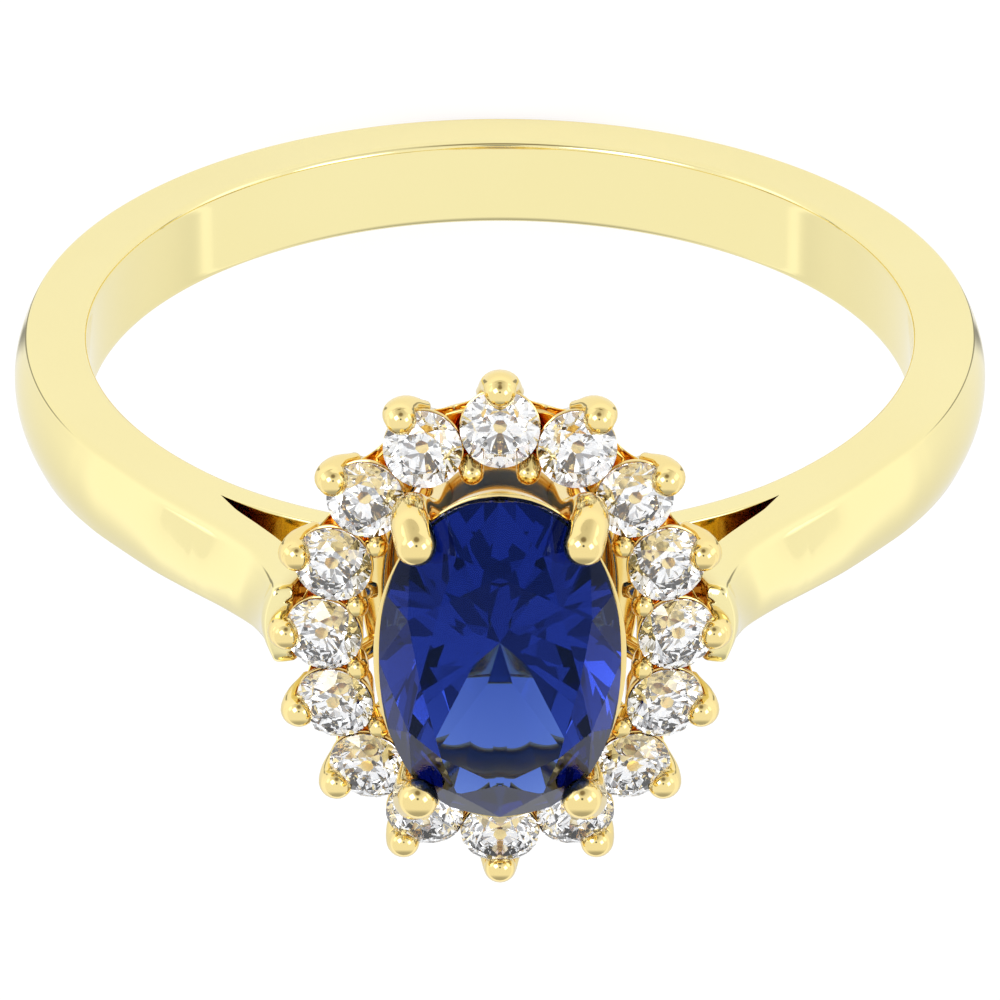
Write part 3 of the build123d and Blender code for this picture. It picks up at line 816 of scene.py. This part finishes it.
def lobe(direction, inner_deg, outer_deg):
    """1 inside a cone about direction, falling to 0 outside it."""
    dot = add(nt, "ShaderNodeVectorMath", operation="DOT_PRODUCT")
    nt.links.new(coord.outputs["Generated"], dot.inputs[0])
    dot.inputs[1].default_value = tuple(direction.normalized())
    span = add(nt, "ShaderNodeMapRange", interpolation_type="SMOOTHSTEP")
    span.inputs["From Min"].default_value = math.cos(math.radians(outer_deg))
    span.inputs["From Max"].default_value = math.cos(math.radians(inner_deg))
    nt.links.new(dot.outputs["Value"], span.inputs["Value"])
    return span.outputs["Result"]


def blend_to(prev, color, fac, amount):
    mix = add(nt, "ShaderNodeMix", data_type="RGBA")
    scale = add(nt, "ShaderNodeMath", operation="MULTIPLY")
    nt.links.new(fac, scale.inputs[0])
    scale.inputs[1].default_value = amount
    nt.links.new(scale.outputs[0], mix.inputs["Factor"])
    nt.links.new(prev, mix.inputs["A"])
    mix.inputs["B"].default_value = (*color, 1)
    return mix.outputs["Result"]


base = add(nt, "ShaderNodeRGB")
base.outputs[0].default_value = (1.0, 1.0, 1.0, 1)
c = base.outputs[0]
c = blend_to(c, (0.42, 0.42, 0.43), lobe(Vector((0, -1, 0.15)), 15, 50), 0.9)
c = blend_to(c, (0.62, 0.60, 0.56), lobe(Vector((0, 1, 0.25)), 12, 45), 0.7)
c = blend_to(c, (0.16, 0.12, 0.07), lobe(Vector((0, 0.86, 0.445)), 7, 20), 0.85)
for side in (1, -1):
    c = blend_to(c, (1.7, 1.7, 1.7), lobe(Vector((0.92 * side, 0.40, 0.10)), 5, 19), 0.9)
c = blend_to(c, (0.02, 0.02, 0.02), lobe(B, 4, 8), 0.95)
spots_tex = add(nt, "ShaderNodeTexNoise", Scale=4.5, Detail=0.0)
nt.links.new(coord.outputs["Generated"], spots_tex.inputs["Vector"])
spots_cut = add(nt, "ShaderNodeMapRange", interpolation_type="SMOOTHSTEP")
spots_cut.inputs["From Min"].default_value, spots_cut.inputs["From Max"].default_value = 0.54, 0.60
nt.links.new(spots_tex.outputs["Fac"], spots_cut.inputs["Value"])
through = add(nt, "ShaderNodeLightPath")
only = add(nt, "ShaderNodeMath", operation="MULTIPLY")
nt.links.new(spots_cut.outputs["Result"], only.inputs[0])
nt.links.new(through.outputs["Is Transmission Ray"], only.inputs[1])
c = blend_to(c, (1.35, 1.37, 1.40), through.outputs["Is Transmission Ray"], 0.45)
c = blend_to(c, (0.10, 0.10, 0.11), only.outputs[0], 0.75)
path = add(nt, "ShaderNodeLightPath")
cam_mix = add(nt, "ShaderNodeMix", data_type="RGBA")
nt.links.new(path.outputs["Is Camera Ray"], cam_mix.inputs["Factor"])
nt.links.new(c, cam_mix.inputs["A"])
cam_mix.inputs["B"].default_value = (1.05, 1.05, 1.05, 1)
nt.links.new(cam_mix.outputs["Result"], bg.inputs["Color"])
bg.inputs["Strength"].default_value = 0.97


def softbox(name, direction, dist, size, power, color=(1, 1, 1)):
    light = bpy.data.lights.new(name, "AREA")
    light.shape, light.size, light.size_y = "RECTANGLE", size[0], size[1]
    light.energy, light.color = power, color
    ob = bpy.data.objects.new(name, light)
    d = Vector(direction).normalized()
    ob.location = d * dist
    ob.rotation_euler = d.to_track_quat("Z", "Y").to_euler()
    bpy.context.scene.collection.objects.link(ob)
    return ob


softbox("key", (-0.7, 0.7, 0.9), 0.35, (0.16, 0.16), 0.24)
softbox("fill", (0.8, 0.35, 0.8), 0.35, (0.14, 0.14), 0.12)

# ------------------------------------------------------------------ camera
cam_data = bpy.data.cameras.new("camera")
cam = bpy.data.objects.new("camera", cam_data)
bpy.context.scene.collection.objects.link(cam)
cam_data.sensor_width, cam_data.lens = 36.0, 260.08
cam_data.clip_start, cam_data.clip_end = 0.01, 10.0
pitch = math.atan(134.3 / 7224.4)
back = B * math.cos(pitch) + U * math.sin(pitch)
up = U * math.cos(pitch) - B * math.sin(pitch)
cam.matrix_world = Matrix.Translation(B * (148.4 * MM)) @ Matrix(((1, up.x, back.x), (0, up.y, back.y), (0, up.z, back.z))).to_4x4()
bpy.context.scene.camera = cam

scene = bpy.context.scene
scene.view_settings.view_transform = "Standard"
scene.view_settings.look = "None"
cy = scene.cycles
cy.max_bounces, cy.transmission_bounces, cy.glossy_bounces, cy.diffuse_bounces = 20, 18, 8, 2
cy.caustics_reflective = cy.caustics_refractive = True
cy.use_denoising = True
cy.sample_clamp_indirect = 8.0
cy.blur_glossy = 0.2
